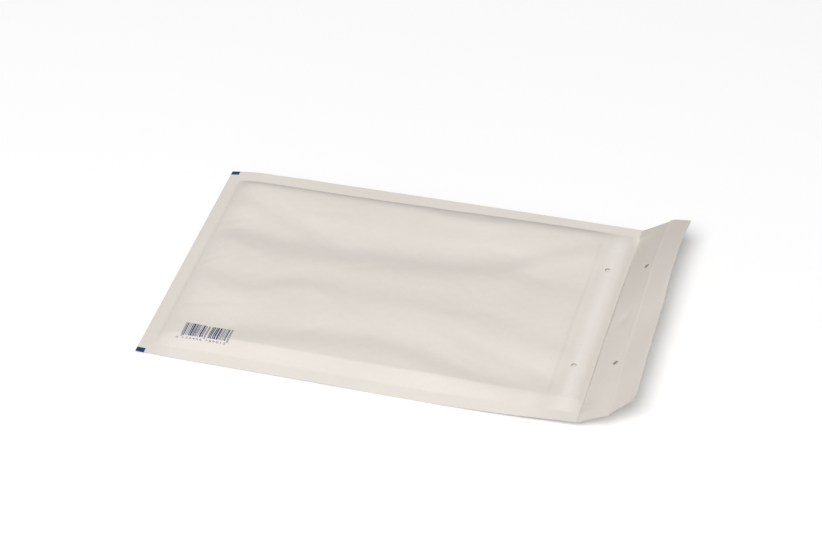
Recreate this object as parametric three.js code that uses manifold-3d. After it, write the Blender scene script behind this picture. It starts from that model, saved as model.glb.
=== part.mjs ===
// A padded mailing envelope, lying on its back panel with its flap half raised.
//
// One paper sheet is folded at the bottom, glued along both sides and carried on past the mouth as
// the flap. Inside it lies one folded length of bubble film. A band of adhesive under a peel-off
// liner closes the flap.
//
// Millimetres, +Z up. X runs along the envelope, with the mouth and the flap at +X, and Y runs across it.
// The origin is on the ground under the middle of the whole envelope, flap included.

import * as THREE from "three";
import { mergeVertices } from "three/addons/utils/BufferGeometryUtils.js";
import Module from "manifold-3d";

const wasm = await Module();
wasm.setup();

// The sheet, seen from above
const LENGTH = 350; // bottom fold to the fold of the flap
const LIP_X = 347.5; // the front panel ends here, a little short of the flap's fold
const WIDTH = 240;
const SIDE_MARGIN = 10; // glued strip along each side
const BOTTOM_MARGIN = 10.5; // pressed strip along the bottom fold
const PAPER = 0.15;

// The body, lying empty
const BODY_HEIGHT = 11;
const LIP_HEIGHT = 8.2; // top of the front panel at the mouth
const MARGIN_HEIGHT = 3; // underside of the glued margins and of the flap's fold above the ground
const SHOULDER = 26; // from the inner edge of a margin to the flat of the panels
const BACK_LIFTS = 30; // length over which the back panel comes up to the flap's fold

// The flap
const FLAP_ANGLE = THREE.MathUtils.degToRad(37);
const FLAP_LENGTH = 49.5;
const LINER_START = 27; // from the fold to the peel-off liner
const FLAP_TAPER = 9; // each end of the flap narrows by this, from the liner outwards

// The lining
const FILM = 2.8; // bubble film, one layer
const LINING_END = 323; // it stops short of the lip
const GAP = 0.3; // between neighbouring pieces

// The adhesive and its liner
const ADHESIVE = 0.15;
const ADHESIVE_INSET = 1.5;
const LINER = 0.12;
const LINER_INSET = 0.3;

// The punched holes for a paper fastener: one pair in the front panel, one in the flap
const HOLE_RADIUS = 2.25;
const HOLE_Y = 60;
const PANEL_HOLE_FROM_FOLD = 15.5;
const FLAP_HOLE_FROM_FOLD = 20.5;
const HOLE_SIDES = 32;

// ---- Solids ----

function solidOf(geometry) {
  const bare = geometry.clone();
  bare.deleteAttribute("normal");
  bare.deleteAttribute("uv");
  const merged = mergeVertices(bare, 1e-4);
  return new wasm.Manifold(
    new wasm.Mesh({
      numProp: 3,
      vertProperties: new Float32Array(merged.attributes.position.array),
      triVerts: new Uint32Array(merged.index.array),
    }),
  );
}

function geometryOf(solid) {
  const { vertProperties, triVerts } = solid.getMesh();
  const geometry = new THREE.BufferGeometry();
  geometry.setAttribute("position", new THREE.BufferAttribute(vertProperties, 3));
  geometry.setIndex(new THREE.BufferAttribute(triVerts, 1));
  geometry.computeVertexNormals();
  return geometry;
}

// The closed solid between two height functions, over a grid of stations along X and Y.
function slab(xs, ys, low, high) {
  const rows = xs.length;
  const columns = ys.length;
  const positions = [];
  for (const height of [low, high]) {
    for (const x of xs) {
      for (const y of ys) positions.push(x, y, height(x, y));
    }
  }
  const upper = rows * columns;
  const at = (i, j) => i * columns + j;
  const triangles = [];
  const quad = (a, b, c, d) => triangles.push(a, b, c, a, c, d);
  for (let i = 0; i + 1 < rows; i++) {
    for (let j = 0; j + 1 < columns; j++) {
      const corners = [at(i, j), at(i + 1, j), at(i + 1, j + 1), at(i, j + 1)];
      quad(...corners.map((v) => v + upper));
      quad(...corners.toReversed());
    }
  }
  const wall = (a, b) => quad(a, b, b + upper, a + upper);
  for (let i = 0; i + 1 < rows; i++) {
    wall(at(i, 0), at(i + 1, 0));
    wall(at(i + 1, columns - 1), at(i, columns - 1));
  }
  for (let j = 0; j + 1 < columns; j++) {
    wall(at(0, j + 1), at(0, j));
    wall(at(rows - 1, j), at(rows - 1, j + 1));
  }
  const geometry = new THREE.BufferGeometry();
  geometry.setAttribute("position", new THREE.Float32BufferAttribute(positions, 3));
  geometry.setIndex(triangles);
  return solidOf(geometry);
}

// ---- The shape of the body ----

const smooth = (t) => THREE.MathUtils.smoothstep(t, 0, 1);

// 0 at a margin's inner edge, rising fast and then easing into 1 at the flat of the panel.
const shoulder = (inset) => 1 - (1 - THREE.MathUtils.clamp(inset / SHOULDER, 0, 1)) ** 3;

const fullness = (x, y) =>
  shoulder(WIDTH / 2 - SIDE_MARGIN - Math.abs(y)) * shoulder(x - BOTTOM_MARGIN);

const crownHeight = (x) =>
  THREE.MathUtils.lerp(BODY_HEIGHT, LIP_HEIGHT, smooth((x - LINING_END) / (LIP_X - LINING_END)));

const backHeight = (x, y) =>
  MARGIN_HEIGHT * (1 - fullness(x, y) * smooth((LENGTH - x) / BACK_LIFTS));

const frontHeight = (x, y) =>
  THREE.MathUtils.lerp(MARGIN_HEIGHT + 2 * PAPER, crownHeight(x), fullness(x, y));

// Both panels offset inwards: the space left inside once their own thickness is taken off.
const above = (depth) => (x, y) => backHeight(x, y) + depth;
const below = (depth) => (x, y) => frontHeight(x, y) - depth;

// Distances in from a margin's inner edge at which the grid has a station, closer together where
// the shoulder is steeper.
const POCKET_RIM = 0.5; // the paper's two panels part here
const LINING_RIM = 3; // the lining is welded shut from here outwards
const LINING_PARTS = 11; // the lining's two layers part here
const INSETS = [POCKET_RIM, 1.5, LINING_RIM, 5, 8, LINING_PARTS, 15, 20, SHOULDER];
const MOUTH_STEPS = 6; // from the end of the lining to the lip

const stationsX = [
  0,
  BOTTOM_MARGIN,
  ...INSETS.map((inset) => BOTTOM_MARGIN + inset),
  LENGTH - BACK_LIFTS,
  ...Array.from({ length: MOUTH_STEPS + 1 }, (_, i) =>
    THREE.MathUtils.lerp(LINING_END, LIP_X, i / MOUTH_STEPS),
  ),
];
const innerY = INSETS.map((inset) => WIDTH / 2 - SIDE_MARGIN - inset);
const halfY = [WIDTH / 2, WIDTH / 2 - SIDE_MARGIN, ...innerY];
const stationsY = [...halfY.map((y) => -y), ...halfY.toReversed()];

const PAST = 2; // a cut runs on past the edge that it opens
const fromBottom = (inset) => stationsX.filter((x) => x >= BOTTOM_MARGIN + inset);
const withinSides = (inset) =>
  stationsY.filter((y) => Math.abs(y) <= WIDTH / 2 - SIDE_MARGIN - inset);

// ---- The outer paper ----

function bodyPaper() {
  const outside = slab(stationsX, stationsY, above(0), below(0));
  const inside = slab(
    [...fromBottom(POCKET_RIM), LIP_X + PAST],
    withinSides(POCKET_RIM),
    above(PAPER),
    below(PAPER),
  );
  return outside.subtract(inside);
}

// The back panel's last few millimetres and the flap, as one strip bent at the fold: a side view
// drawn out across Y.
function flapStrip() {
  const cos = Math.cos(FLAP_ANGLE);
  const sin = Math.sin(FLAP_ANGLE);
  const tip = new THREE.Vector2(LENGTH + FLAP_LENGTH * cos, FLAP_LENGTH * sin);
  const profile = new THREE.Shape([
    new THREE.Vector2(LIP_X - PAST, 0),
    new THREE.Vector2(LENGTH, 0),
    tip,
    new THREE.Vector2(tip.x - PAPER * sin, tip.y + PAPER * cos),
    new THREE.Vector2(LENGTH - PAPER * Math.tan(FLAP_ANGLE / 2), PAPER),
    new THREE.Vector2(LIP_X - PAST, PAPER),
  ]);
  const strip = new THREE.ExtrudeGeometry(profile, { depth: WIDTH, bevelEnabled: false });
  return solidOf(strip.rotateX(Math.PI / 2).translate(0, WIDTH / 2, MARGIN_HEIGHT));
}

// The flap's outline from above, as a block tall enough to trim the raised flap.
function flapOutline() {
  const linerX = LENGTH + LINER_START * Math.cos(FLAP_ANGLE);
  const tipX = LENGTH + FLAP_LENGTH * Math.cos(FLAP_ANGLE);
  const tipY = WIDTH / 2 - FLAP_TAPER;
  const outline = new THREE.Shape([
    new THREE.Vector2(LIP_X - 2 * PAST, -WIDTH / 2),
    new THREE.Vector2(linerX, -WIDTH / 2),
    new THREE.Vector2(tipX, -tipY),
    new THREE.Vector2(tipX, tipY),
    new THREE.Vector2(linerX, WIDTH / 2),
    new THREE.Vector2(LIP_X - 2 * PAST, WIDTH / 2),
  ]);
  const block = new THREE.ExtrudeGeometry(outline, { depth: FLAP_LENGTH + PAST, bevelEnabled: false });
  return solidOf(block.translate(0, 0, -PAST / 2));
}

function punch(length) {
  const pin = new THREE.CylinderGeometry(HOLE_RADIUS, HOLE_RADIUS, length, HOLE_SIDES);
  return pin.rotateX(Math.PI / 2);
}

function paperSolid() {
  let paper = bodyPaper().add(flapStrip().intersect(flapOutline()));
  for (const y of [-HOLE_Y, HOLE_Y]) {
    const front = punch(LIP_HEIGHT).translate(LENGTH - PANEL_HOLE_FROM_FOLD, y, BODY_HEIGHT);
    const flap = punch(2 * PAST)
      .translate(FLAP_HOLE_FROM_FOLD, y, 0)
      .rotateY(-FLAP_ANGLE)
      .translate(LENGTH, 0, MARGIN_HEIGHT);
    paper = paper.subtract(solidOf(front)).subtract(solidOf(flap));
  }
  return paper;
}

// ---- The bubble lining ----

function liningSolid() {
  const skin = PAPER + GAP;
  const toItsEnd = (xs) => xs.filter((x) => x <= LINING_END);
  const outside = slab(
    toItsEnd(fromBottom(LINING_RIM)),
    withinSides(LINING_RIM),
    above(skin),
    below(skin),
  );
  const inside = slab(
    [...toItsEnd(fromBottom(LINING_PARTS)), LINING_END + PAST],
    withinSides(LINING_PARTS),
    above(skin + FILM),
    below(skin + FILM),
  );
  return outside.subtract(inside);
}

// ---- The adhesive and the peel-off liner, drawn flat on the flap ----

function flapBand(inset, thickness) {
  const start = LINER_START + inset;
  const end = FLAP_LENGTH - inset;
  const halfAt = (s) => {
    const along = (s - LINER_START) / (FLAP_LENGTH - LINER_START);
    return WIDTH / 2 - inset - FLAP_TAPER * along;
  };
  const outline = new THREE.Shape([
    new THREE.Vector2(start, -halfAt(start)),
    new THREE.Vector2(end, -halfAt(end)),
    new THREE.Vector2(end, halfAt(end)),
    new THREE.Vector2(start, halfAt(start)),
  ]);
  return new THREE.ExtrudeGeometry(outline, { depth: thickness, bevelEnabled: false });
}

// ---- Assembly ----

function piece(name, geometry, color, roughness) {
  const material = new THREE.MeshStandardMaterial({ color, roughness, metalness: 0 });
  const mesh = new THREE.Mesh(geometry, material);
  mesh.name = name;
  return mesh;
}

const whitePaper = new THREE.Color(0.86, 0.84, 0.81);
const clearFilm = new THREE.Color(0.8, 0.82, 0.83);
const hotMelt = new THREE.Color(0.85, 0.8, 0.66);
const linerPaper = new THREE.Color(0.88, 0.85, 0.8);

const flap = new THREE.Group();
flap.position.set(LENGTH, 0, MARGIN_HEIGHT);
flap.rotation.y = -FLAP_ANGLE;

const adhesive = piece("adhesive_strip", flapBand(ADHESIVE_INSET, ADHESIVE), hotMelt, 0.35);
adhesive.position.z = PAPER + GAP;
const liner = piece("release_liner", flapBand(LINER_INSET, LINER), linerPaper, 0.5);
liner.position.z = adhesive.position.z + ADHESIVE + GAP;
flap.add(adhesive, liner);

const sheet = new THREE.Group();
sheet.position.x = -(LENGTH + FLAP_LENGTH * Math.cos(FLAP_ANGLE)) / 2;
sheet.add(
  piece("outer_paper", geometryOf(paperSolid()), whitePaper, 0.75),
  piece("bubble_lining", geometryOf(liningSolid()), clearFilm, 0.3),
  flap,
);

const envelope = new THREE.Group();
envelope.name = "padded_envelope";
envelope.add(sheet);

export default envelope;
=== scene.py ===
import math

import bpy
import numpy as np
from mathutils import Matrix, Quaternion, Vector


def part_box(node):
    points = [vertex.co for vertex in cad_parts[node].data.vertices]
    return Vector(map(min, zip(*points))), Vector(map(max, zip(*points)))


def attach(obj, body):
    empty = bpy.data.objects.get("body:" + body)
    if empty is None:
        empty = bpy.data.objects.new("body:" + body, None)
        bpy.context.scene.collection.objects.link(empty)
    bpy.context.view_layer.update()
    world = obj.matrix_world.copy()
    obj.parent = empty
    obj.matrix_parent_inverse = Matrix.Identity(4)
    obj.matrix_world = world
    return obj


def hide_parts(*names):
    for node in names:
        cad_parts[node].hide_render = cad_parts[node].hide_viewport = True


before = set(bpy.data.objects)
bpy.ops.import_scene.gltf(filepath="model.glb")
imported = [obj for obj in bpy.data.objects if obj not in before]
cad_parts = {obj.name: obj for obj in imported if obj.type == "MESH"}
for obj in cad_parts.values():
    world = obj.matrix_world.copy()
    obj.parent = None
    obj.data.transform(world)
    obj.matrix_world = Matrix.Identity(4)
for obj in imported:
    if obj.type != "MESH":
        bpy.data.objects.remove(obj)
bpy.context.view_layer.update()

scene = bpy.context.scene


# ---- The outer paper ----
# One sheet of white kraft paper. It is folded at the bottom, glued along both sides, and carried
# on past the mouth as the flap. It lies on its back panel and takes the shape of the film inside.
# Shapes are worked out in millimetres, with X along the envelope from its bottom fold.

MM = 0.001
paper_low, paper_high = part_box("outer_paper")
WIDTH = (paper_high.y - paper_low.y) / MM
HALF = WIDTH / 2
LENGTH = 350  # bottom fold to the fold of the flap
LIP = 349.6  # the front panel ends here
SIDE_MARGIN = 10  # glued strip along each side
BOTTOM_MARGIN = 10.5  # pressed strip along the bottom fold
PAPER = 0.15
PLY_GAP = 0.2  # between the two panels where they are glued
FILM_END = 322.5
FILM_LIFT = 2.2  # by which the film raises the near margin's inner side
BUBBLE_PITCH = 11.5
MARK_LENGTH = 7  # the ink marks at the ends of the bottom fold
MARK_WIDTH = 4.5

# Each shoulder's run in from its margin, and the power that sets how steeply it starts.
NEAR_SHOULDER, FAR_SHOULDER, BOTTOM_SHOULDER = (14, 1.15), (18, 2.4), (26, 2.0)
BACK_SIDE_SHOULDER, BACK_BOTTOM_SHOULDER = (24, 2.4), (26, 2.4)
FOLDS_PAST_FILM = 12  # the folds have faded out this far past the film's end
FOLDS_FADE = 20
GROUND = 0.05  # the back panel's height where it lies on the ground
BACK_FAR_LIFT = 1.2  # by which it is off the ground along the far side
PANELS_APART = 0.05  # the least gap between the panels

FLAP = 49.5  # length of the flap
BAND_START = 27  # from the flap's fold to the adhesive band and its liner
FOLD_BOW = 1.0  # the fold bows in by this at the middle of the mouth
BOW_RUN = 60  # and the panels follow it over this length
FOLD_LEVEL, FOLD_RISE = 5.4, 1.9  # the flap's height at the fold's middle, and its rise at the ends
FOLD_FADE = 15  # the fold's own ups and downs have faded out this far along the flap
HOLE_RADIUS = 2.25
HOLE_Y = 60
HOLE_CLEAR = 0.6  # no other station of the grid is this near a hole
HOLE_BLEND = 5  # the grid runs from round back to square over this
PANEL_HOLE_X = LENGTH - 15.5
FLAP_HOLE_S = 19.4
FLAP_SHIFT = 4.7  # the flap's middle lies over to the far side by this,
SHIFT_RUN = 14  # once it is this far from its fold
NEAR_STEP, NEAR_TAPER, FAR_TAPER = 2, 9, 11.7  # how far in the flap's edges come
DENT, DENT_S, DENT_Y = 0.75, 13.5, 1  # the depth of a dent in the flap, and its place
SHARP = math.radians(50)  # edges that turn more than this are shaded sharp


def ease(t):
    """Runs from 0 to 1 as t does, level at both ends: 3 t squared less 2 t cubed."""
    t = np.clip(t, 0, 1)
    return t * t * (3 - 2 * t)


def through(at, *points):
    """The smooth curve through a few points. Between each two it passes by ease from the first
    one's tangent to the second one's, and each tangent has the mean slope about its point."""
    places, values = np.array(points, float).T
    slopes = np.gradient(values, places)
    k = np.clip(np.searchsorted(places, at) - 1, 0, len(places) - 2)
    step = places[k + 1] - places[k]
    t = np.clip((at - places[k]) / step, 0, 1)
    start = values[k] + step * slopes[k] * t
    end = values[k + 1] - step * slopes[k + 1] * (1 - t)
    return start + (end - start) * ease(t)


def rise(inset, length, power):
    """0 at a margin's inner edge, then up steeply and level at 1 after length: 1 - (1 - t) ** power."""
    return 1 - (1 - np.clip(inset / length, 0, 1)) ** power


def margin_height(x, y):
    """The glued margins' height: a straight line across from the near edge to the far one, with a
    lift towards the near margin's inner side, where the film holds the two panels apart."""
    near = through(x, (0, 1.4), (25, 0.75), (60, 0.7), (150, 1.0), (270, 1.7), (300, 3.2), (325, 5.3),
                   (350, 7.3))
    far = through(x, (0, 0.9), (16, 3.2), (42, 4.3), (94, 5.2), (150, 6.0), (235, 7.0), (350, 7.8))
    lift = FILM_LIFT * ease(x / 40) * ease((LENGTH - x) / 60)
    lift = lift * np.clip((y + HALF) / SIDE_MARGIN, 0, 1) * ease((HALF - y) / WIDTH)
    return near + (far - near) * (y / WIDTH + 0.5) + lift


def far_inset(x, y):
    """Distance in from the far margin's inner edge, where the film lies a little further in."""
    return HALF - y - through(x, (0, 12.5), (150, 12.8), (260, 10.8), (350, 10.2))


def crease(x, y, width, depth, *line):
    """A soft fold along a line: a ridge on its near side that falls into a valley on its far side.
    Across the line it is -u exp(-u squared), and it fades in and out over its ends."""
    xs = [point[0] for point in line]
    u = (y - through(x, *line)) / width
    fade = ease((x - xs[0]) / 30 + 0.5) * ease((xs[-1] - x) / 30 + 0.5)
    return -2.33 * depth * u * np.exp(-u * u) * fade


def front_folds(x, y):
    """The long soft folds in the front panel, and the short pinches by its bottom crease."""
    return (
        crease(x, y, 23, 1.35, (20, 31), (54, 27), (90, 23), (150, 26), (204, 30), (240, 38), (272, 46))
        + crease(x, y, 14, 0.5, (258, 50), (278, 60), (297, 72), (335, 90))
        + crease(x, y, 16, 0.3, (262, 30), (300, 26), (330, 22))
        + crease(x, y, 14, 0.5, (14, 80), (38, 67), (72, 53), (105, 40))
        + crease(x, y, 15, 0.6, (18, -22), (50, -32), (76, -29), (98, -19), (122, -17), (140, -20))
        + crease(x, y, 17, 0.45, (158, -21), (205, -19), (245, -26), (285, -36), (335, -46))
        + crease(x, y, 17, 0.85, (40, -92), (70, -88), (105, -82), (150, -76), (195, -74), (245, -88),
                 (335, -90))
        + crease(x, y, 10, 0.25, (235, -55), (285, -71), (330, -84))
        + crease(x, y, 8, 0.5, (180, 96), (213, 94), (245, 97))
        + crease(x, y, 3.0, 0.30, (10, 43), (22, 46), (34, 51))
        + crease(x, y, 3.0, 0.12, (10, 32), (24, 35), (42, 39))
        + crease(x, y, 3.0, 0.30, (10, -12), (20, -8), (31, -2))
        + crease(x, y, 5.0, 0.15, (12, -66), (34, -62), (56, -56))
    )


def small_wrinkles(x, y, count=60, seed=11):
    """Short faint wrinkles scattered over a panel: each is a low ridge, with a bell-shaped section
    and a bell-shaped fade along its length."""
    draw = np.random.default_rng(seed)
    height = 0.0
    for _ in range(count):
        centre_x, centre_y = draw.uniform(15, 335), draw.uniform(-92, 100)
        turn = draw.normal(0, 0.7)
        length, width, depth = draw.uniform(12, 34), draw.uniform(2.2, 5), draw.normal(0, 0.13)
        dx, dy = x - centre_x, y - centre_y
        u = (dx * math.cos(turn) + dy * math.sin(turn)) / length
        v = (dy * math.cos(turn) - dx * math.sin(turn)) / width
        height = height + depth * np.exp(-u * u - v * v)
    return height


def front_height(x, y):
    """The front panel's outer face: the margins' height, raised to the crown by a steep shoulder
    along each margin, with the folds laid over the crown."""
    margin = margin_height(x, y) + PAPER + PLY_GAP / 2
    full = (
        rise(y + HALF - SIDE_MARGIN, *NEAR_SHOULDER)
        * rise(far_inset(x, y), *FAR_SHOULDER)
        * rise(x - BOTTOM_MARGIN, *BOTTOM_SHOULDER)
    )
    crown = through(x, (0, 9.8), (60, 10.4), (200, 10.6), (300, 10.4), (315, 10.2), (320, 9.2),
                    (324, 9.0), (334, 9.9), (341, 9.5), (350, 5.65))
    body = 1 - ease((x - FILM_END - FOLDS_PAST_FILM + FOLDS_FADE) / FOLDS_FADE)
    tilt = through(y, (-110, -3.0), (-95, -2.7), (-72, -2.1), (-40, -0.2), (-15, 0.1), (0, -0.2),
                   (25, -0.8), (45, -0.9), (70, 0.7), (92, 2.1), (115, 2.5))
    folds = front_folds(x, y) + small_wrinkles(x, y) + tilt
    return margin + (crown - margin + folds * body) * full


def back_height(x, y):
    """The back panel's outer face: on the ground, a little off it along the far side, and up to the
    margins. Towards the mouth it comes up under the front panel, which it does not pass through,
    and down again to the flap's fold."""
    margin = margin_height(x, y) - PAPER - PLY_GAP / 2
    full = (
        rise(y + HALF - SIDE_MARGIN, *BACK_SIDE_SHOULDER)
        * rise(far_inset(x, y), *BACK_SIDE_SHOULDER)
        * rise(x - BOTTOM_MARGIN, *BACK_BOTTOM_SHOULDER)
    )
    ground = through(x, (0, GROUND), (285, GROUND), (290, GROUND), (308, 1.4), (322, 4.7), (334, 8.3),
                     (342, 8.0), (350, 5.3))
    far_lift = BACK_FAR_LIFT * ease((y - 30) / 70) * ease((300 - x) / 100)
    ground = np.maximum(ground, GROUND) + far_lift
    ceiling = front_height(x, y) - 2 * PAPER - PANELS_APART
    return np.minimum(margin + (ground - margin) * full, ceiling)


def fold_x(y):
    """The flap's fold, which bows in a little at the middle of the mouth."""
    return LENGTH - FOLD_BOW * (1 - (y / HALF) ** 2)


def bowed(x, y):
    """Draws a panel's last part in, more and more towards the flap's fold, to follow its bow."""
    return x - (LENGTH - fold_x(y)) * ease((x - LENGTH + BOW_RUN) / BOW_RUN)


def flap_point(s, y, lift=0.0):
    """The flap's outer face at a distance s from its fold, raised by lift on its inner side. It is
    two flats, bent at the adhesive band, and each leans by its own angle, which varies across. The
    fold's own ups and downs fade out a little way along, and a shallow dent lies near its middle."""
    base = through(y, (-120, 27), (-95, 31), (-60, 34), (0, 35.5), (55, 38.5), (85, 37.5), (120, 33))
    band = through(y, (-120, 35), (-60, 33.5), (0, 34), (55, 36.5), (85, 36), (120, 32))
    base, band = np.radians(base), np.radians(band)
    first, second = np.minimum(s, BAND_START), np.maximum(s - BAND_START, 0)
    lean = np.where(s < BAND_START, base, band)
    level = FOLD_LEVEL + FOLD_RISE * (y / HALF) ** 4
    level = level + (back_height(LENGTH, y) - level) * ease(1 - s / FOLD_FADE)
    dent = DENT * np.exp(-(((s - DENT_S) / 4) ** 2) - ((y - DENT_Y) / 6) ** 2)
    lift = lift - dent
    x = fold_x(y) + first * np.cos(base) + second * np.cos(band) - lift * np.sin(lean)
    z = level + first * np.sin(base) + second * np.sin(band) + lift * np.cos(lean)
    return np.stack([x, y, z], -1)


def flap_y(s, v):
    """Across the flap, for v from -1 at its near edge to 1 at its far one. Both edges taper past
    the band's start: the near one after a small step in, the far one from a little further on."""
    near_y = [HALF, HALF - NEAR_STEP, HALF - NEAR_TAPER]
    near = np.interp(s, [BAND_START, BAND_START + 1.5, FLAP], near_y)
    far = np.interp(s, [BAND_START + 3.5, FLAP], [HALF, HALF - FAR_TAPER])
    return v * np.where(v < 0, near, far)


def around_hole(a, b, hole_a, hole_b):
    """Draws the square rings of a grid about a punched hole in to round ones: an offset is
    scaled by its longer part over its length, and less and less so further out."""
    da, db = a - hole_a, b - hole_b
    ring = np.maximum(abs(da), abs(db))
    pull = 1 - ease((ring - HOLE_RADIUS) / HOLE_BLEND)
    scale = 1 + pull * (ring / np.maximum(np.hypot(da, db), 1e-9) - 1)
    return hole_a + da * scale, hole_b + db * scale


def stations(low, high, step, holes=()):
    """Evenly spaced stations, with seven close ones across each hole in place of those near it."""
    even = np.linspace(low, high, round((high - low) / step) + 1)
    for hole in holes:
        even = even[abs(even - hole) > HOLE_RADIUS + HOLE_CLEAR]
        even = np.sort(np.append(even, hole + HOLE_RADIUS * np.linspace(-1, 1, 7)))
    return even


def in_frame(points):
    """Millimetres from the bottom fold, as metres in the shared frame."""
    return points * MM + np.array([paper_low.x, 0, 0])


def shell(name, outer, inner, keep=None):
    """A closed sheet between two grids of points: a face for each kept cell on both sides, and a
    wall wherever a kept cell has no kept neighbour. All the cells are kept unless keep is given."""
    index = np.arange(outer[..., 0].size).reshape(outer.shape[:2])
    if keep is None:
        keep = np.ones_like(index[1:, 1:], bool)
    corners = [index[:-1, :-1], index[:-1, 1:], index[1:, 1:], index[1:, :-1]]
    faces = [
        np.stack(corners, -1)[keep],
        np.stack(corners[::-1], -1)[keep] + index.size,
    ]
    missing = ~np.pad(keep, 1)
    neighbours = [missing[:-2, 1:-1], missing[1:-1, 2:], missing[2:, 1:-1], missing[1:-1, :-2]]
    for side, gone in enumerate(neighbours):
        start, end = corners[side], corners[(side + 1) % 4]
        wall = np.stack([end, start, start + index.size, end + index.size], -1)
        faces.append(wall[keep & gone])
    used, compact = np.unique(np.concatenate(faces), return_inverse=True)
    points = np.concatenate([outer.reshape(-1, 3), inner.reshape(-1, 3)])[used]
    mesh = bpy.data.meshes.new(name)
    mesh.from_pydata(in_frame(points).tolist(), [], compact.reshape(-1, 4).tolist())
    mesh.shade_smooth()
    mesh.set_sharp_from_angle(angle=SHARP)
    piece = bpy.data.objects.new(name, mesh)
    scene.collection.objects.link(piece)
    return piece


def normals(grid):
    """Unit normals of a grid of points, from the cross product of its steps along columns and rows."""
    across, along = np.gradient(grid, axis=1), np.gradient(grid, axis=0)
    normal = np.cross(across, along)
    return normal / np.linalg.norm(normal, axis=-1, keepdims=True)


FOLD_RADIUS = PAPER + PLY_GAP / 2
SIDE_ZONE = 28  # the grid is finer this far in from each side
LIP_ZONE = 12  # the lip is slightly wavy over its last part
LIP_WAVE_X, LIP_WAVE_Z = 0.15, 0.05
BACK_FLAT = 287  # the back panel's grid is coarser up to here

front_x = stations(FOLD_RADIUS, LIP, 1.9, [PANEL_HOLE_X])[::-1]
back_x = np.append(stations(FOLD_RADIUS, BACK_FLAT, 7), stations(BACK_FLAT + 3, LENGTH, 3))
flap_s = stations(0, FLAP, 1.5, [FLAP_HOLE_S])[1:]
fold_turn = np.radians([120, 150, 180, 210, 240])
side_y = stations(HALF - SIDE_ZONE, HALF, 1.0)
middle_y = stations(-HALF + SIDE_ZONE, HALF - SIDE_ZONE, 2.2, [-HOLE_Y, HOLE_Y])
across = np.concatenate([-side_y[::-1], middle_y[1:-1], side_y])

x, y = np.meshgrid(front_x, across, indexing="ij")
for hole_y in (-HOLE_Y, HOLE_Y):
    x, y = around_hole(x, y, PANEL_HOLE_X, hole_y)
waves = 1 + 0.5 * np.sin(y / 17) + 0.5 * np.sin(y / 9.5 + 1)
waves = ease((x - LIP + LIP_ZONE) / LIP_ZONE) * waves
x = bowed(x, y)
front = np.stack([x + LIP_WAVE_X * waves, y, front_height(x, y) + LIP_WAVE_Z * waves], -1)

turn, y = np.meshgrid(fold_turn, across, indexing="ij")
fold_z = margin_height(np.zeros_like(y), y)
fold = np.stack([FOLD_RADIUS * (1 + np.cos(turn)), y, fold_z + FOLD_RADIUS * np.sin(turn)], -1)

x, y = np.meshgrid(back_x, across, indexing="ij")
back = np.stack([bowed(x, y), y, back_height(x, y)], -1)

s, y = np.meshgrid(flap_s, across, indexing="ij")
for hole_y in (-HOLE_Y, HOLE_Y):
    s, y = around_hole(s, y, FLAP_HOLE_S, hole_y)
over = FLAP_SHIFT * (1 - (y / HALF) ** 2) * ease(s / SHIFT_RUN)
flap = flap_point(s, flap_y(s, y / HALF) + over)

outside = np.concatenate([front, fold, back, flap])
along = np.concatenate([front_x, fold_turn, back_x, flap_s])
along_mid, across_mid = (along[1:] + along[:-1]) / 2, (across[1:] + across[:-1]) / 2
near_hole_y = abs(abs(across_mid) - HOLE_Y) < HOLE_RADIUS
near_hole_x = abs(along_mid - PANEL_HOLE_X) < HOLE_RADIUS
near_hole_x[len(front_x):] = False
near_hole_s = abs(along_mid - FLAP_HOLE_S) < HOLE_RADIUS
near_hole_s[:-len(flap_s)] = False
keep = ~((near_hole_x | near_hole_s)[:, None] & near_hole_y)
paper = shell("white_paper_envelope", outside, outside - PAPER * normals(outside), keep)


class Value:
    """One socket that gives a value in a material. Arithmetic on it adds Math nodes."""

    def __init__(self, tree, socket):
        self.tree, self.socket = tree, socket

    def node(self, kind, settings, inputs, output=0):
        """A new node: its settings are set first, then the values or links of its inputs."""
        made = self.tree.nodes.new("ShaderNode" + kind)
        for name, value in settings.items():
            setattr(made, name, value)
        for name, value in inputs.items():
            if isinstance(value, Value):
                self.tree.links.new(value.socket, made.inputs[name])
            else:
                made.inputs[name].default_value = value
        return Value(self.tree, made.outputs[output])

    def maths(self, operation, *others):
        """A Math node with this value first."""
        return self.node("Math", {"operation": operation}, dict(enumerate((self, *others))))

    def mix(self, low, high):
        """The colour low where this value is 0, and high where it is 1."""
        return self.node("Mix", {"data_type": "RGBA"}, {0: self, 6: low, 7: high}, 2)

    def noise(self, scale, detail, roughness=0.5):
        """Cloudy values about a half over these coordinates, with scale patches to the metre."""
        inputs = {"Vector": self, "Scale": scale, "Detail": detail, "Roughness": roughness}
        return self.node("TexNoise", {}, inputs)

    def axis(self, number):
        """The X of these coordinates for 0, and the Y for 1."""
        return self.node("SeparateXYZ", {}, {0: self}, number)

    def into(self, socket):
        """Links this value to a socket."""
        self.tree.links.new(self.socket, socket)

    def __add__(self, other):
        return self.maths("ADD", other)

    def __mul__(self, other):
        return self.maths("MULTIPLY", other)

    def __sub__(self, other):
        return self.maths("SUBTRACT", other)

    def __rsub__(self, other):
        return self * -1 + other

    def __gt__(self, other):
        return self.maths("GREATER_THAN", other)

    def __lt__(self, other):
        return self.maths("LESS_THAN", other)

    def __abs__(self):
        return self.maths("ABSOLUTE")

    __radd__, __rmul__ = __add__, __mul__


def new_material(piece, name, **fixed):
    """Gives a piece a material: its shader, with the sockets that stay the same all over, and
    its object coordinates in metres."""
    made = bpy.data.materials.new(name)
    made.use_nodes = True
    shader = made.node_tree.nodes["Principled BSDF"]
    for socket, value in fixed.items():
        shader.inputs[socket.replace("_", " ")].default_value = value
    coordinates = made.node_tree.nodes.new("ShaderNodeTexCoord")
    piece.data.materials.append(made)
    return shader, Value(made.node_tree, coordinates.outputs["Object"])


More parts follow.
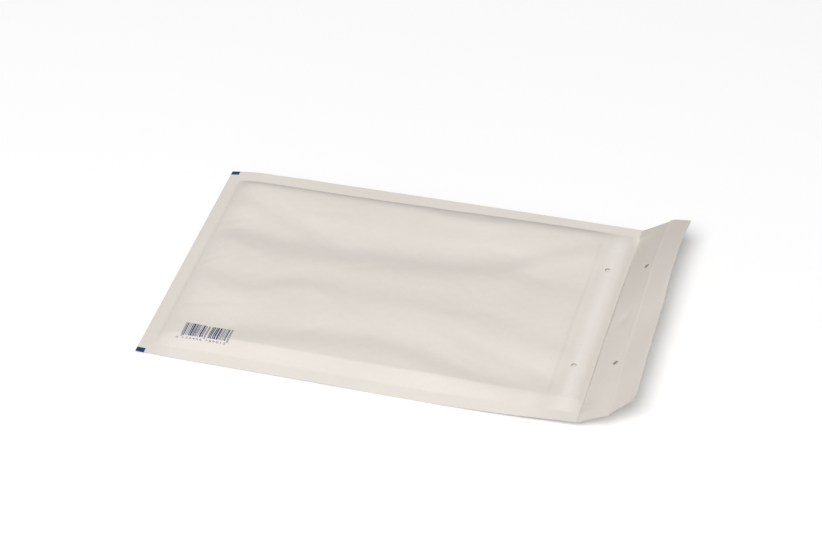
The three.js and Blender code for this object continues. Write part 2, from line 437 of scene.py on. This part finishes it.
def relief(height, depth, shader):
    """A fine relief on the surface: height runs from about 0 to 1, and depth is in metres."""
    inputs = {"Height": height, "Distance": depth, "Strength": 1.0}
    height.node("Bump", {}, inputs).into(shader.inputs["Normal"])


def bubble_print(place):
    """Rounds in a triangular pattern, as close together as the bubbles of the film beneath: the
    sum of three cosines whose directions are 60 degrees apart."""
    k = 4 * math.pi / (math.sqrt(3) * BUBBLE_PITCH * MM)
    x, y = place.axis(0), place.axis(1)
    waves = [
        (x * (k * math.cos(turn)) + y * (k * math.sin(turn))).maths("COSINE")
        for turn in (0, math.pi / 3, 2 * math.pi / 3)
    ]
    return waves[0] + waves[1] + waves[2]


def along_sheet(x):
    """The object coordinate, in metres, of a place so many millimetres from the bottom fold."""
    return paper_low.x + x * MM


def stripe(x, middle, reach):
    """1 along a line across the envelope, and evenly down to 0 at the reach on either side."""
    return (1 - 1 / (reach * MM) * abs(x - along_sheet(middle))).maths("MAXIMUM", 0)


NAVY = (0.010, 0.040, 0.125, 1)
PAPER_DARK, PAPER_LIGHT = (0.630, 0.587, 0.53, 1), (0.752, 0.713, 0.666, 1)
# The flap's colour under painted shade, where it leans away from the light.
FLAP_SHADE_COLOUR = (0.54, 0.50, 0.445, 1)
FLAP_SHADE_FADE = 5  # how fast the painted shade on the flap and its liner deepens towards the far side, per metre
MOUTH_HIGHLIGHT, LIP_SHADE = (336, 8), (346.5, 4.5)  # each a middle and a reach along the sheet: a painted highlight along the ridge behind the mouth, and painted shade along the lip
# Painted shade: a thin dark line where the film's end steps down, and another in the crease along the
# bottom margin's inner edge.
FILM_END_SHADE, BOTTOM_CREASE_SHADE = (321.5, 2.2), (12.6, 1.5)
MOUTH_MIDDLE, MOUTH_HALF = 7, 103  # how far the painted highlight and shade by the mouth reach across the sheet
FILM_END_SHADE_HALF, BOTTOM_CREASE_SHADE_HALF = 93, 106
PRINT_START, PRINT_HALF = 18, 100  # the part of the sheet that the bubbles show through

shader, place = new_material(paper, "white kraft paper", Specular_IOR_Level=0.35)
x, y = place.axis(0), place.axis(1)
clouds = place.noise(14, 4)
fibres = place.noise(900, 5, 0.65)
flecks = place.noise(240, 2)
marks = (x < along_sheet(MARK_LENGTH)) * (abs(y) > (HALF - MARK_WIDTH) * MM)
tone = clouds * 0.5 + fibres * 0.35 + flecks * 0.25
wander = x + 3 * MM * clouds - 1.5 * MM
# Painted light by the mouth: lighter along the ridge behind it, and darker along the lip's strip where
# shade falls.
mouth_highlight_and_shade = 0.45 * stripe(wander, *MOUTH_HIGHLIGHT) - 0.3 * stripe(wander, *LIP_SHADE)
tone = tone + (abs(y - MOUTH_MIDDLE * MM) < MOUTH_HALF * MM) * mouth_highlight_and_shade
# Painted shade along the film's end and along the bottom crease, taken off the tone.
film_end_shade = (abs(y) < FILM_END_SHADE_HALF * MM) * (0.5 * clouds * stripe(wander, *FILM_END_SHADE))
bottom_crease_shade = (abs(y) < BOTTOM_CREASE_SHADE_HALF * MM) * (0.25 * stripe(wander, *BOTTOM_CREASE_SHADE))
tone = tone - (film_end_shade + bottom_crease_shade)
# Painted shade on the flap: a little darker all over, and darker still towards the far side.
flap_shade = (x > along_sheet(LENGTH)) * (0.12 + FLAP_SHADE_FADE * y.maths("MAXIMUM", 0))
sheet_colour = flap_shade.mix(tone.mix(PAPER_DARK, PAPER_LIGHT), FLAP_SHADE_COLOUR)
marks.mix(sheet_colour, NAVY).into(shader.inputs["Base Color"])
(0.66 + 0.12 * fibres - 0.2 * marks).into(shader.inputs["Roughness"])
covered = (x > along_sheet(PRINT_START)) * (x < along_sheet(FILM_END)) * (abs(y) < PRINT_HALF * MM)
relief(0.55 * fibres + 0.3 * flecks + 0.08 * covered * bubble_print(place), 0.12 * MM, shader)

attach(paper, "root")
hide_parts("outer_paper")


# ---- The bubble film lining ----
# Clear polyethylene film, folded once at the bottom and welded along both sides. Its smooth side
# is inwards, for what is posted, and its bubbles stand out towards the paper.

FILM_NEAR = 3 + SIDE_MARGIN - HALF  # the weld is 3 mm inside the glued margin
FILM_FAR = HALF - 16.5
FILM_START = BOTTOM_MARGIN + 3.5
FILM_WALL = 0.5
FILM_SHOULDER = (9, 2)  # the two layers part over this run from the welds, by this power
FILM_TO_PAPER = 0.15
LEAST_ROOM, LEAST_HOLLOW = 0.1, 0.02
BUBBLE_RADIUS = 4.9
BUBBLE_HEIGHT = 2.1
FILM_STEP = 1.8


def bubbles(a, b):
    """Heights of round blisters in a triangular pattern: each is a flattened dome about the
    nearest centre, which lies on one of two rectangular grids."""
    tall = BUBBLE_PITCH * math.sqrt(3)
    reach = np.full(np.shape(a), np.inf)
    for shift in (0, 0.5):
        da = (a / BUBBLE_PITCH + shift + 0.5) % 1 - 0.5
        db = (b / tall + shift + 0.5) % 1 - 0.5
        reach = np.minimum(reach, np.hypot(da * BUBBLE_PITCH, db * tall))
    return BUBBLE_HEIGHT * np.clip(1 - (reach / BUBBLE_RADIUS) ** 2, 0, 1) ** 0.5


film_x = stations(FILM_START, FILM_END, FILM_STEP)
film_y = stations(FILM_NEAR, FILM_FAR, FILM_STEP)
x, y = np.meshgrid(film_x, film_y, indexing="ij")
open_up = 1
for inset in (y - FILM_NEAR, FILM_FAR - y, x - FILM_START):
    open_up = open_up * rise(inset, *FILM_SHOULDER)
top, bottom = front_height(x, y), back_height(x, y)
middle = (top + bottom) / 2
room = np.maximum((top - bottom) / 2 - PAPER - FILM_TO_PAPER, LEAST_ROOM)
hollow = LEAST_HOLLOW + open_up * np.maximum(room - BUBBLE_HEIGHT - FILM_WALL, 0)
filled = hollow + np.minimum(FILM_WALL + bubbles(x, y) * open_up, room - hollow)
inner, outer = (
    np.concatenate([np.stack([x, y, middle + half], -1)[::-1], np.stack([x, y, middle - half], -1)])
    for half in (hollow, filled)
)
film = shell("bubble_film_lining", outer, inner)

shader, place = new_material(film, "clear bubble film", Alpha=0.55, Coat_Weight=0.4, Coat_Roughness=0.1)
haze = place.noise(60, 3)
haze.mix((0.78, 0.82, 0.84, 1), (0.92, 0.94, 0.95, 1)).into(shader.inputs["Base Color"])
(0.16 + 0.2 * haze).into(shader.inputs["Roughness"])
relief(place.noise(420, 3), 0.15 * MM, shader)

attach(film, "root")
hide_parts("bubble_lining")


# ---- The adhesive strip ----
# A band of hot melt adhesive, rolled warm onto the flap's inner face. It is a thin layer with a
# faintly uneven surface, and the liner covers it.

ADHESIVE = 0.15
ADHESIVE_INSET = 1.5  # from the liner's start and from the flap's edge
ADHESIVE_SIDE_INSET = 6.5
ADHESIVE_LIFT = PAPER + 0.05


def over_band(start, end, side_inset, columns):
    """A grid over the flap's band: the distances from its fold, and the places across it."""
    s, v = np.meshgrid(np.linspace(start, end, 24), np.linspace(-1, 1, columns), indexing="ij")
    return s, flap_y(s, v * (1 - side_inset / HALF))


s, y = over_band(BAND_START + ADHESIVE_INSET, FLAP - ADHESIVE_INSET, ADHESIVE_SIDE_INSET, 150)
low, high = flap_point(s, y, ADHESIVE_LIFT), flap_point(s, y, ADHESIVE_LIFT + ADHESIVE)
adhesive = shell("flap_adhesive", high[::-1], low[::-1])

shader, place = new_material(adhesive, "hot melt adhesive", Specular_IOR_Level=0.5)
swirl = place.noise(180, 3)
swirl.mix((0.62, 0.52, 0.30, 1), (0.78, 0.70, 0.50, 1)).into(shader.inputs["Base Color"])
(0.22 + 0.2 * swirl).into(shader.inputs["Roughness"])
relief(swirl, 0.1 * MM, shader)

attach(adhesive, "root")
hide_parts("adhesive_strip")


# ---- The release liner ----
# Thin siliconed paper over the adhesive, to be peeled off before the flap is closed. It covers
# the flap's outer part from side to side, and its near corner has begun to curl.

LINER = 0.12
LINER_INSET = 0.2
LINER_LIFT = ADHESIVE_LIFT + ADHESIVE + 0.3
CURL = 0.8  # how high the near corner stands
RIPPLE = 0.25
START_LIFT, END_DROP = 0.5, 0.35  # of the liner's long edges
START_WANDER = 0.35  # how far its start strays along the flap

s, y = over_band(BAND_START, FLAP, LINER_INSET, 160)
curl = CURL * ease((s - FLAP + 7) / 7) ** 2 * ease((-y - 97) / 16) ** 2
ripple = RIPPLE * np.sin(y / 13) * ease((s - BAND_START) / 10)
edge = START_LIFT * ease((BAND_START + 2 - s) / 2) - END_DROP * ease((s - FLAP + 2.5) / 2.5)
s = s + ease((BAND_START + 6 - s) / 6) * START_WANDER * np.sin(y / 21 + 0.5)
low = flap_point(s, y, LINER_LIFT + curl + ripple * ease((FLAP - s) / 4) + edge)
high = low + LINER * normals(low)
liner = shell("flap_release_liner", low[::-1], high[::-1])

shader, place = new_material(liner, "siliconed paper", Specular_IOR_Level=0.5)
clouds, fibres = place.noise(18, 3), place.noise(800, 4)
# The liner carries the flap's painted shade, darker towards the far side.
tone = clouds * 0.6 + fibres * 0.4 - FLAP_SHADE_FADE * place.axis(1).maths("MAXIMUM", 0)
tone.mix((0.62, 0.57, 0.525, 1), (0.73, 0.68, 0.63, 1)).into(shader.inputs["Base Color"])
(0.36 + 0.15 * clouds).into(shader.inputs["Roughness"])
relief(fibres, 0.05 * MM, shader)

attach(liner, "root")
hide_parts("release_liner")


# ---- The printed code ----
# Navy ink on the front panel, near its bottom corner: a row of bars between longer guard bars,
# with plain counting digits under them. It is laid on the paper as a film of ink.

INK, INK_LIFT = 0.015, 0.03  # the ink's thickness, and its face above the paper
CODE_START, CODE_END = 30.2, 68.7
CODE_TOP, CODE_FOOT = -84.2, -98.6
GUARD_FOOT = -99.8
DIGITS = "0 123456 789012"
DIGIT_SIZE = 2.3
DIGIT_SPACING = 1.4
DIGITS_START, DIGITS_LENGTH = CODE_START - 3.5, CODE_END - CODE_START + 2
DIGITS_Y = -101.6
MODULES = 95  # the code is this many of its thinnest bars long
GUARDS = (0, 2, 46, 48, 92, 94)
BARS_START, BARS_END = 4, 91
MIDDLE_START, MIDDLE_END = 44, 50  # kept clear for the middle guard bars
BAR_POINTS = 15  # along each bar, so that it follows the paper


def on_panel(x, y):
    """Points of the ink's face, a little above the front panel's outer face."""
    return np.stack([x, y, front_height(x, y) + INK_LIFT], -1)


draw = np.random.default_rng(5)
module = (CODE_END - CODE_START) / MODULES
bars, at = [], BARS_START
while at < BARS_END:
    wide = int(draw.choice((1, 1, 2, 3)))
    if at + wide < MIDDLE_START or at > MIDDLE_END:
        bars.append((at, wide, CODE_FOOT))
    at += wide + int(draw.integers(1, 3))
bars += [(guard, 1, GUARD_FOOT) for guard in GUARDS]
grids, faces, total = [], [], 0
for first, wide, foot in bars:
    x, y = np.meshgrid(CODE_START + module * np.array([first, first + wide]),
                       np.linspace(CODE_TOP, foot, BAR_POINTS), indexing="ij")
    corners = np.arange(x.size).reshape(x.shape) + total
    grids.append(on_panel(x, y).reshape(-1, 3))
    cells = [corners[:-1, :-1], corners[1:, :-1], corners[1:, 1:], corners[:-1, 1:]]
    faces += np.stack(cells, -1).reshape(-1, 4).tolist()
    total += x.size

writing = bpy.data.curves.new("code digits", "FONT")
writing.body = DIGITS
writing.size = DIGIT_SIZE
writing.space_character = DIGIT_SPACING
lettering = bpy.data.objects.new("code digits", writing)
scene.collection.objects.link(lettering)
bpy.context.view_layer.update()
letters = lettering.to_mesh()
points = np.array([vertex.co[:] for vertex in letters.vertices])
x = points[:, 0] - points[:, 0].min()
x = DIGITS_START + x * DIGITS_LENGTH / x.max()
grids.append(on_panel(x, DIGITS_Y + points[:, 1]))
faces += [[v + total for v in polygon.vertices] for polygon in letters.polygons]
lettering.to_mesh_clear()
bpy.data.objects.remove(lettering)

mesh = bpy.data.meshes.new("printed_code")
mesh.from_pydata(in_frame(np.concatenate(grids)).tolist(), [], faces)
code = bpy.data.objects.new("printed_code", mesh)
scene.collection.objects.link(code)
thick = code.modifiers.new("ink", "SOLIDIFY")
thick.thickness = INK * MM
thick.offset = -1

shader, place = new_material(code, "navy ink", Specular_IOR_Level=0.4)
starved = place.noise(500, 3)
starved.mix((0.008, 0.016, 0.08, 1), (0.045, 0.065, 0.2, 1)).into(shader.inputs["Base Color"])
(0.4 + 0.2 * starved).into(shader.inputs["Roughness"])

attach(code, "root")


# ---- The floor, the light and the camera ----
# A plain pale floor, and one broad soft light from above and the near side. The room is pale all
# round. The camera looks down from the near side, a little way round to the mouth's end.

FLOOR_REACH = 6  # metres from the middle of the floor to each side
KEY_AZIMUTH, KEY_ELEVATION, KEY_DISTANCE = 1, 50, 8
CAMERA_AZIMUTH, CAMERA_ELEVATION, CAMERA_DISTANCE = 15.84, 38.74, 2.264
CAMERA_ROLL = -0.64

floor_mesh = bpy.data.meshes.new("floor")
corners = [(FLOOR_REACH * i, FLOOR_REACH * j, 0) for i, j in ((-1, -1), (1, -1), (1, 1), (-1, 1))]
floor_mesh.from_pydata(corners, [], [(0, 1, 2, 3)])
floor = bpy.data.objects.new("floor", floor_mesh)
scene.collection.objects.link(floor)
shader, place = new_material(floor, "pale floor", Roughness=0.9, Specular_IOR_Level=0.1)
tone = place.noise(3, 2)
tone.mix((0.975, 0.975, 0.975, 1), (0.99, 0.99, 0.99, 1)).into(shader.inputs["Base Color"])

aim = Vector((-0.0144, 0.0285, 0))  # what the light and the camera point at


def towards(azimuth, elevation):
    """The direction from what is looked at to the eye: azimuth 0 is on the near side, at -Y."""
    a, e = math.radians(azimuth), math.radians(elevation)
    return Vector((math.sin(a) * math.cos(e), -math.cos(a) * math.cos(e), math.sin(e)))


lamp = bpy.data.lights.new("key", "AREA")
lamp.shape = "DISK"
lamp.size = 4.8
lamp.energy = 608
key = bpy.data.objects.new("key", lamp)
key_way = towards(KEY_AZIMUTH, KEY_ELEVATION)
key.location = aim + key_way * KEY_DISTANCE
key.rotation_euler = key_way.to_track_quat("Z", "Y").to_euler()
scene.collection.objects.link(key)

world = bpy.data.worlds.new("pale room")
world.use_nodes = True
world.node_tree.nodes["Background"].inputs["Color"].default_value = (1, 1, 1, 1)
world.node_tree.nodes["Background"].inputs["Strength"].default_value = 0.35
scene.world = world
scene.view_settings.view_transform = "Standard"

lens = bpy.data.cameras.new("camera")
lens.sensor_width = 36
lens.lens = 123.9
lens.clip_end = 50
camera = bpy.data.objects.new("camera", lens)
eye = towards(CAMERA_AZIMUTH, CAMERA_ELEVATION)
camera.location = aim + eye * CAMERA_DISTANCE
camera.rotation_mode = "QUATERNION"
roll = Quaternion((0, 0, 1), math.radians(CAMERA_ROLL))
camera.rotation_quaternion = eye.to_track_quat("Z", "Y") @ roll
scene.collection.objects.link(camera)
scene.camera = camera
